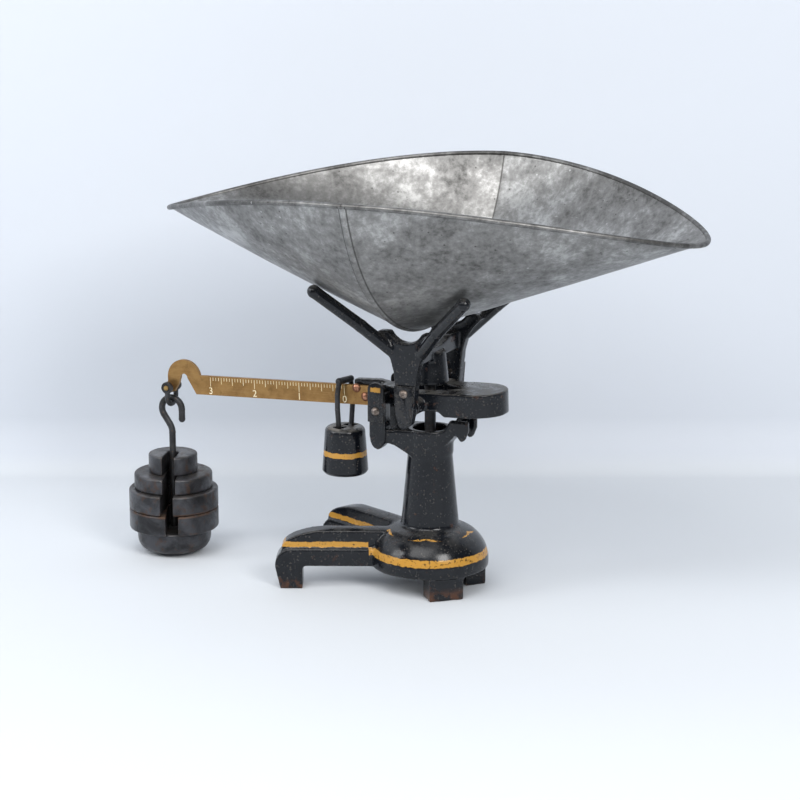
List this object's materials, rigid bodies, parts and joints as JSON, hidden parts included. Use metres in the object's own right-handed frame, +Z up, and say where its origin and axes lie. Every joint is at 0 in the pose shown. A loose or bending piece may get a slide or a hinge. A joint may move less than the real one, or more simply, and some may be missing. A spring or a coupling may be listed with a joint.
{
  "type": "counter scale",
  "caption": "Cast-iron counter scale with a brass beam and sliding poise, slotted weights on a hook hanger, and a lift-off tin scoop on a four-prong carrier.",
  "frame": {"origin": "on the table, under the middle of the whole outline", "axes": "+Z up; +X along the beam towards its tail; the brass bar and the weights are on the -X side"},
  "size_m": [0.4686, 0.2958, 0.3129],
  "materials": {
    "japanned_iron": "black japan lacquer over cast iron, semi-gloss, worn and dusty, with ochre-gold painted stripes",
    "dark_iron": "dark oiled iron, smooth and slightly brown",
    "rusted_iron": "bare gunmetal iron with brown rust along the edges",
    "knife_steel": "hardened steel, dull grey",
    "screw_steel": "worn bright steel",
    "brass": "aged lacquer-free brass, satin",
    "copper_rivet": "aged copper, satin",
    "tinned_sheet": "mottled, patinated tinned sheet, satin with scratches"
  },
  "bodies": {
    "base": {"base_casting": "japanned_iron", "near_fulcrum_bearing": "knife_steel", "far_fulcrum_bearing": "knife_steel", "near_fulcrum_cover": "japanned_iron", "far_fulcrum_cover": "japanned_iron", "fulcrum_cover_screws": "screw_steel", "base_check_pin": "knife_steel"},
    "beam": {"beam_frame": "japanned_iron", "beam_bar": "brass", "beam_rivets": "copper_rivet", "fulcrum_knife": "knife_steel", "near_load_knife": "knife_steel", "far_load_knife": "knife_steel", "tip_pin": "brass"},
    "check_link": {"check_link": "dark_iron"},
    "carrier": {"carrier": "japanned_iron", "carrier_stem": "dark_iron", "stem_check_pin": "knife_steel", "near_load_bearing": "knife_steel", "far_load_bearing": "knife_steel", "near_load_cover": "japanned_iron", "far_load_cover": "japanned_iron", "load_cover_screws": "screw_steel"},
    "scoop": {"scoop_left_half": "tinned_sheet", "scoop_right_half": "tinned_sheet", "scoop_rim": "tinned_sheet"},
    "poise_loop": {"poise_loop": "dark_iron"},
    "poise": {"poise": "japanned_iron"},
    "tip_stirrup": {"tip_stirrup": "dark_iron"},
    "hanger": {"hanger_hook": "dark_iron", "hanger_base": "rusted_iron"},
    "weight_small": {"weight_small": "rusted_iron"},
    "weight_medium": {"weight_medium": "rusted_iron"},
    "weight_large_upper": {"weight_large_upper": "rusted_iron"},
    "weight_large_lower": {"weight_large_lower": "rusted_iron"}
  },
  "joints": [
    {"name": "beam_pivot", "type": "hinge", "parent": "base", "child": "beam", "pos_m": [-0.01257, 0, 0.1455], "axis": [0, 1, 0], "range_deg": [0, 4.8]},
    {"name": "check_link_pivot", "type": "hinge", "parent": "base", "child": "check_link", "pos_m": [-0.01257, 0, 0.024], "axis": [0, 1, 0], "range_deg": [0, 4.8]},
    {"name": "carrier_pivot", "type": "hinge", "parent": "beam", "child": "carrier", "pos_m": [0.0224, 0, 0.14697], "axis": [0, 1, 0], "range_deg": [-4.8, 0]},
    {"name": "scoop_lift", "type": "slide", "parent": "carrier", "child": "scoop", "axis": [0, 0, 1], "range_m": [0, 0.06]},
    {"name": "poise_slide", "type": "slide", "parent": "beam", "child": "poise_loop", "axis": [-0.9991, 0, -0.0419], "range_m": [0, 0.1135]},
    {"name": "poise_swing", "type": "hinge", "parent": "poise_loop", "child": "poise", "pos_m": [-0.04829, 0, 0.1141], "axis": [0, 1, 0], "range_deg": [-6, 6]},
    {"name": "stirrup_swing", "type": "hinge", "parent": "beam", "child": "tip_stirrup", "pos_m": [-0.19923, 0, 0.13367], "axis": [0, 1, 0], "range_deg": [-10, 12]},
    {"name": "hanger_swing", "type": "hinge", "parent": "tip_stirrup", "child": "hanger", "pos_m": [-0.19923, 0, 0.12187], "axis": [0, 1, 0], "range_deg": [-8, 10]},
    {"name": "weight_large_lower_draw", "type": "slide", "parent": "hanger", "child": "weight_large_lower", "axis": [-0.4462, 0.8949, 0], "range_m": [0, 0.075]},
    {"name": "weight_large_upper_draw", "type": "slide", "parent": "hanger", "child": "weight_large_upper", "axis": [-0.342, 0.9397, 0], "range_m": [0, 0.075]},
    {"name": "weight_medium_draw", "type": "slide", "parent": "hanger", "child": "weight_medium", "axis": [-0.3827, 0.9239, 0], "range_m": [0, 0.075]},
    {"name": "weight_small_draw", "type": "slide", "parent": "hanger", "child": "weight_small", "axis": [-0.284, 0.9588, 0], "range_m": [0, 0.075]}
  ],
  "couplings": [
    {"joint": "check_link_pivot", "follows": "beam_pivot", "ratio": 1},
    {"joint": "carrier_pivot", "follows": "beam_pivot", "ratio": -1}
  ]
}
